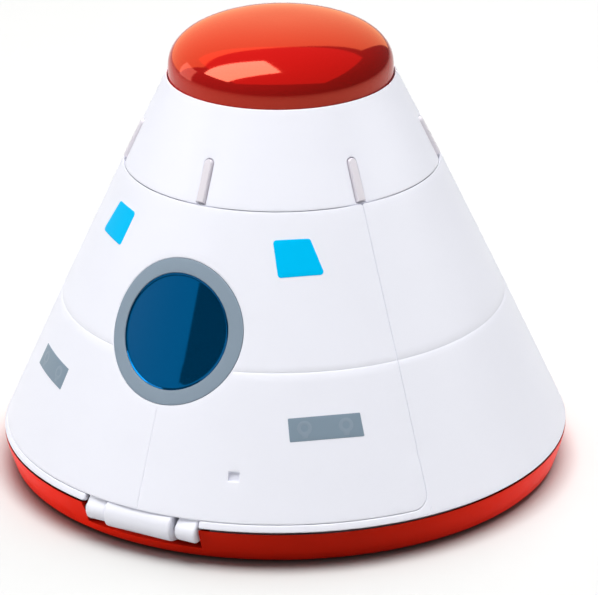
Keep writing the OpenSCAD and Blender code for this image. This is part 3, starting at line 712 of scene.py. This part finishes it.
def make_hatch():
    """The hatch's shell with its round hole and square pocket, its knuckles and its tongue."""
    loop, lean = hatch_outline()
    window = on_patch(0, WINDOW_Z, circle(RING_R + RING_CLEARANCE))[::-1]
    x, y = POCKET_HALF
    pocket = rounded([(-x, -y), (x, -y), (x, y), (-x, y)], POCKET_CORNER, 5)
    pocket = on_patch(*POCKET_AT, spread(pocket, 0.7))[::-1]
    seams = [(0, HATCH_BOTTOM - 1, WINDOW_Z - RING_R)]
    piece = panel("hatch_shell", [loop, window, pocket], "white_plastic",
                  relief=body_relief(seams), extra=groove_points(-59, 59, seams),
                  slopes=[lean, np.zeros(len(window)), np.zeros(len(pocket))],
                  floors={2: -POCKET_DEPTH})
    finish_piece(piece, "hatch", "white_plastic", "hatch_panel")
    make_knuckles()
    back = 0.8 - SKIRT_R - 1.4
    outline = ([(0.2 - float(skin(z)) + WALL, z) for z in TONGUE_Z]
               + [(back, z) for z in reversed(TONGUE_Z)])
    tongue = prism_x("hatch_tongue", outline, -TONGUE_HALF, TONGUE_HALF, "white_plastic", bevel=0.4)
    finish_piece(tongue, "hatch", "white_plastic")


def make_knuckles():
    """The hatch's two round knuckles, each with a web that runs up into the panel."""
    for word, x in KNUCKLE_X.items():
        arc = [(PIVOT_Y + KNUCKLE_R * math.cos(a), PIVOT_Z + KNUCKLE_R * math.sin(a))
               for a in np.radians(np.linspace(126, 385, 40))]
        top_z = HATCH_BOTTOM + 0.5
        front = -math.sqrt((float(skin(top_z)) - 0.5) ** 2 - max(abs(v) for v in x) ** 2)
        outline = arc + [(front + 2.6, top_z), (front, top_z), (front - 0.3, top_z - 1.6)]
        piece = prism_x(f"hatch_knuckle_{word}", outline, *x, "white_plastic", bevel=1.1)
        finish_piece(piece, "hatch", "white_plastic")


def make_shell_inside():
    """The ledge round the inside of the rear shell's foot, and the bosses for the base's screws."""
    low, top = RIM_Z + 0.2, SILL - 0.1
    ledge = [(SILL_IN, RIM_Z - 2.6), (SILL_IN + 1.6, RIM_Z - 2.6), (SILL_IN + 1.6, low),
             (float(skin(low)) - WALL - 0.1, low), (float(skin(top)) - WALL - 0.1, top),
             (SILL_IN + 0.3, top), (SILL_IN, top - 0.3)]
    piece = sector("shell_ledge", ledge, *LEDGE_ENDS, "white_plastic")
    finish_piece(piece, "capsule", "white_plastic")
    foot, top = FLOOR_TOP + 0.05, FLOOR_TOP + 7
    profile = [(0, foot), (POST_R, foot), (POST_R, top - 0.6), (POST_R - 0.6, top), (0, top)]
    for a in range(30, 360, 60):
        boss = lathe(f"shell_boss_{a}", profile, "white_plastic", segments=40)
        boss.data.transform(Matrix.Translation(POST_RING * MM * looking_from(a, 0)))
        finish_piece(boss, "capsule", "white_plastic")


def make_saddle():
    """The fixed middle of the hinge, a round-fronted block on the tray's shelf."""
    arc = []
    for a in np.radians(np.linspace(62, 262, 44)):
        bulge = float(np.clip((math.radians(165) - a) / math.radians(40), 0, 1))
        r = SADDLE_R + SADDLE_BULGE * bulge
        arc.append((PIVOT_Y + r * math.cos(a), PIVOT_Z + r * math.sin(a)))
    outline = arc + [(PIVOT_Y + 2.5, SHELF_Z + 0.05), (PIVOT_Y + 6.5, SHELF_Z + 0.05),
                     (PIVOT_Y + 6.5, PIVOT_Z + 3)]
    piece = prism_x("saddle_block", outline, *SADDLE_X, "white_plastic", bevel=1.0)
    finish_piece(piece, "capsule", "white_plastic", "hinge_saddle")


def make_base():
    """The red tray, made from the CAD mesh.

    Its lip's top is cut back, so that a dark gap shows under the rim, and the left wall of its
    notch is moved in to the shorter hinge.
    """
    node = frame["nodes"]["base_tray"]
    verts = []
    for v in node.data.vertices:
        x, y, z = (c / MM for c in node.matrix_world @ v.co)
        if z > RIM_Z - 0.5:
            z -= LIP_DROP if math.hypot(x, y) > RIM_R - 0.5 else STEP_DROP
        if z > RIM_Z - 2 and math.hypot(x, y) > RIM_R - 0.5:
            x, y = x * LIP_TRIM, y * LIP_TRIM
        if abs(x + HINGE_CUT) < 0.06 and y < PIVOT_Y + 8:
            x += WALL_SHIFT
        verts.append((x * MM, y * MM, z * MM))
    faces = [list(p.vertices) for p in node.data.polygons]
    piece = make_object("base_shell", verts, faces, "red_plastic")
    soften(piece, BASE_SOFTENED)
    return finish_piece(piece, "capsule", "red_plastic", "base_tray")


def make_window():
    """The grey ring and the tinted pane inside it, both curved with the hatch."""
    ring = panel("window_bezel", [on_patch(0, WINDOW_Z, circle(RING_R)),
                                  on_patch(0, WINDOW_Z, circle(WINDOW_R))[::-1]],
                 "window_grey", edge=RING_EDGE, step=1.8)
    finish_piece(ring, "hatch", "window_grey", "window_ring")
    pane = panel("window_pane", [on_patch(0, WINDOW_Z, circle(WINDOW_R - PANE_CLEARANCE))],
                 "tinted_window", edge=PANE_EDGE, step=1.3)
    finish_piece(pane, "hatch", "tinted_window", "window_lens")


def make_labels():
    """The printed patches, a blue and a grey one on each side, and the grey ones' round marks."""
    blue = rounded(BLUE_OUTLINE, BLUE_CORNER)
    grey = rounded(GREY_OUTLINE, GREY_CORNER)
    for side, word in ((1, "right"), (-1, "left")):
        for kind, outline, (az, z), node in (("blue", blue, BLUE_AT, "blue_labels"),
                                            ("grey", grey, GREY_AT, "grey_labels")):
            points = spread(outline, 1.2) * (side, 1)
            loop = on_patch(side * az, z, points[::side])
            piece = panel(f"{kind}_label_{word}", [loop], f"{kind}_print", edge=LABEL_EDGE,
                          step=1.6)
            finish_piece(piece, "hatch", f"{kind}_print", node)
        for k, x in enumerate(MARK_X):
            ring = [(MARK_R * math.sin(a), -MARK_R * math.cos(a))
                    for a in np.radians(np.linspace(35, 325, 30))]
            outer = np.array(ring + MARK_TAIL[::-1]) * (side, 1) + (side * x, MARK_Y)
            hole = circle(MARK_HOLE) + (side * x, MARK_Y)
            az, z = GREY_AT
            piece = panel(f"mark_{word}_{k + 1}", [on_patch(side * az, z, outer[::side]),
                                                   on_patch(side * az, z, hole)[::-1]],
                          "window_grey", edge=MARK_EDGE, step=1.2)
            finish_piece(piece, "hatch", "window_grey")


# Upright seams of the fixed body: (azimuth, z from, z to)
REAR_SEAMS = ([(azimuth, RIM_Z - 1, UPPER_LINE) for azimuth in (120, 180, 240)]
              + [(azimuth, RIM_Z - 1, SILL) for azimuth in (60, 300)])


def make_rear_shell():
    """The fixed two thirds of the body, with the sill that runs on round the front."""
    gap, radius = SEAM_GAP, HATCH_CORNER + SEAM_GAP
    end = math.degrees(math.asin(HINGE_CUT / RIM_R))
    drop = radius * math.cos(float(tilt(SILL)))
    reach = float(np.degrees((radius - gap) / skin(SILL)))
    low, top = RIM_Z + 0.15, REAR_TOP
    seams = [seam[0] for seam in REAR_SEAMS]
    left = math.degrees(math.asin((HINGE_CUT - 1.1) / RIM_R))
    loop = np.vstack([
        level_edge(low, end + 0.5, 359.2 - left, seams),
        corner(360 - left, 0, low, STRIP_CORNER, -90, 0, -1, 1),
        side_edge(360 - left, 0, low + STRIP_CORNER, SILL - 0.4),
        level_edge(SILL, 359.7 - left, 300 + reach),
        corner(300, -gap, SILL, radius, 270, 180, 1, 1),
        side_edge(300, -gap, SILL + drop, top - 0.6),
        level_edge(top, 299.4, 60.6, [120, 180, 240]),
        side_edge(60, gap, top - 0.6, SILL + drop),
        corner(60, gap, SILL, radius, 0, -90, -1, 1),
        level_edge(SILL, 60 - reach, end + 0.3),
        side_edge(end, 0, SILL - 0.4, low + 0.7),
        corner(end, 0, low, 0.5, 180, 270, 1, 1),
    ])
    lean = np.where(loop[:, 1] > top - 0.3, SEAM_SLOPE, 0.0)
    piece = panel("rear_body", [loop], "white_plastic", relief=body_relief(REAR_SEAMS),
                  extra=groove_points(61, 299, REAR_SEAMS), slopes=[lean])
    finish_piece(piece, "capsule", "white_plastic", "rear_shell")


def fin_outline(grow):
    """A fin's outline, square at the foot and round at the top, grown outwards by a clearance."""
    half, top = FIN_WIDTH / 2 + grow, FIN_LENGTH - FIN_WIDTH / 2
    arc = [(half * math.cos(t), top + half * math.sin(t))
           for t in np.radians(np.linspace(0, 180, 15))]
    return spread(np.array([(-half, -grow), (half, -grow)] + arc), 0.9)


def hollow(az, z):
    """The soft hollow in which each fin stands, deepest at the nose's foot."""
    half = FIN_PITCH / 2
    off = (np.mod(az + half, FIN_PITCH) - half) * np.radians(1) * skin(z)
    fade = np.clip((NOSE_TOP - 1 - z) / (NOSE_TOP - UPPER_LINE), 0, 1) ** HOLLOW_FADE
    return -HOLLOW_DEPTH * np.exp(-(off / HOLLOW_WIDTH) ** 2) * fade


def make_nose():
    """The upper cone, made of six like sectors with a slot for a fin in each."""
    low, high = UPPER_LINE + 0.1, NOSE_TOP - 0.35
    half = FIN_PITCH // 2
    across = np.arange(-half, half + 0.1, NOSE_STEP)
    up = np.linspace(low, high, NOSE_ROWS)
    rect = np.array([(a, low) for a in across[:-1]] + [(half, z) for z in up[:-1]]
                    + [(a, high) for a in across[:0:-1]] + [(-half, z) for z in up[:0:-1]])
    slot = on_patch(0, FIN_BOTTOM, fin_outline(FIN_CLEARANCE))[::-1]
    inner_slot = inset(slot, SLOT_INSET)
    points, tris, ids = fill([rect, inner_slot], 1.7)
    verts, faces, count = [], [], 0
    for turn in range(0, 360, FIN_PITCH):
        verts.append(place(points[:, 0] + turn, points[:, 1], hollow(points[:, 0], points[:, 1])))
        faces += [t + count for t in tris]
        ring = [count + i for i in ids[1]]
        count += len(points)
        for d, h in SLOT_EDGE:
            line = inset(slot, d)
            lift = hollow(line[:, 0], line[:, 1]) * (1 if h > RELIEF_DEPTH else 0)
            verts.append(place(line[:, 0] + turn, line[:, 1], h + lift))
            new = list(range(count, count + len(line)))
            count += len(line)
            faces += [(ring[i], new[i], new[(i + 1) % len(line)], ring[(i + 1) % len(line)])
                      for i in range(len(line))]
            ring = new
        faces.append(ring[::-1])
    az = np.arange(-half, 360 - half, NOSE_STEP)
    seam_r, seam_z = float(skin(UPPER_LINE)) - 0.6, UPPER_LINE - 0.6 * SEAM_SLOPE - 0.5
    foot = [(low, 0), (UPPER_LINE + 0.04, -0.03), (UPPER_LINE + 0.01, -0.12), (UPPER_LINE, -0.4)]
    rows = [place(az, z, h + hollow(az, low)) for z, h in foot]
    profile = [(seam_r - 1.3, seam_z - 1.6), (SKIRT_R, UPPER_LINE - 3.4),
               (SKIRT_R, UPPER_LINE - 6.5), (SKIRT_IN, UPPER_LINE - 6.5),
               (SKIRT_IN, UPPER_LINE + 2), (float(skin(LEDGE)) - 2.5, LEDGE), (BORE_R, LEDGE),
               (BORE_R, NOSE_TOP - 0.3), (BORE_R + 0.15, NOSE_TOP - 0.05), (BORE_R + 0.4, NOSE_TOP)]
    angle = np.radians(az)
    rows += [MM * np.stack([r * np.sin(angle), -r * np.cos(angle), np.full(len(az), z)], -1)
             for r, z in profile]
    rows += [place(az, NOSE_TOP - 0.1, -0.02), place(az, high, hollow(az, high))]
    n = len(az)
    for a, b in zip(rows, rows[1:]):
        verts += [a, b]
        faces += [(count + i, count + n + i, count + n + (i + 1) % n, count + (i + 1) % n)
                  for i in range(n)]
        count += 2 * n
    piece = make_object("nose_shell", np.vstack(verts), faces, "white_plastic")
    finish_piece(piece, "capsule", "white_plastic", "nose_cone")


def make_fins():
    """Six ribs with rounded edges that stand in the nose's slots."""
    for k in range(360 // FIN_PITCH):
        loop = on_patch(0, FIN_BOTTOM, fin_outline(0)) + (FIN_PITCH * k, 0)
        piece = panel(f"fin_{k + 1}", [loop], "fin_plastic", edge=FIN_EDGE, step=1.2)
        finish_piece(piece, "capsule", "fin_plastic", "nose_fins")


def make_dome():
    """The dome, a superellipse turned about Z, with a flange that stops it at the nose's ledge."""
    power = 2 / DOME_POWER
    top = [(DOME_R * math.cos(t) ** power, DOME_EDGE + DOME_H * math.sin(t) ** power)
           for t in np.radians(np.linspace(0, 90, 40))]
    across, up = DOME_INNER
    inner = [(r * across, DOME_EDGE + (z - DOME_EDGE) * up) for r, z in reversed(top)]
    flange = [(DOME_R - 2.2, LEDGE - 2.1), (DOME_R + 1.5, LEDGE - 2.1),
              (DOME_R + 1.5, LEDGE - 0.1), (DOME_R, LEDGE - 0.1)]
    profile = flange + top + inner
    piece = lathe("dome_cap", profile, "red_gloss", segments=160)
    return finish_piece(piece, "dome", "red_gloss", "dome_button")


def dress_cad_nodes():
    """Gives every CAD node the material of its slot, and rounds the edges of the moulded ones."""
    slots = {s["node"]: s["material_slot"] for s in frame["record"]["subparts"]}
    for name, node in frame["nodes"].items():
        node.data.materials.clear()
        node.data.materials.append(MATERIAL[slots[name]])
        if name in SOFTENED:
            soften(node, SOFTENED[name])


make_materials()
make_camera()
dress_cad_nodes()
make_hatch()
make_window()
make_labels()
make_rear_shell()
make_shell_inside()
make_nose()
make_fins()
make_saddle()
make_studio(make_dome(), make_base())
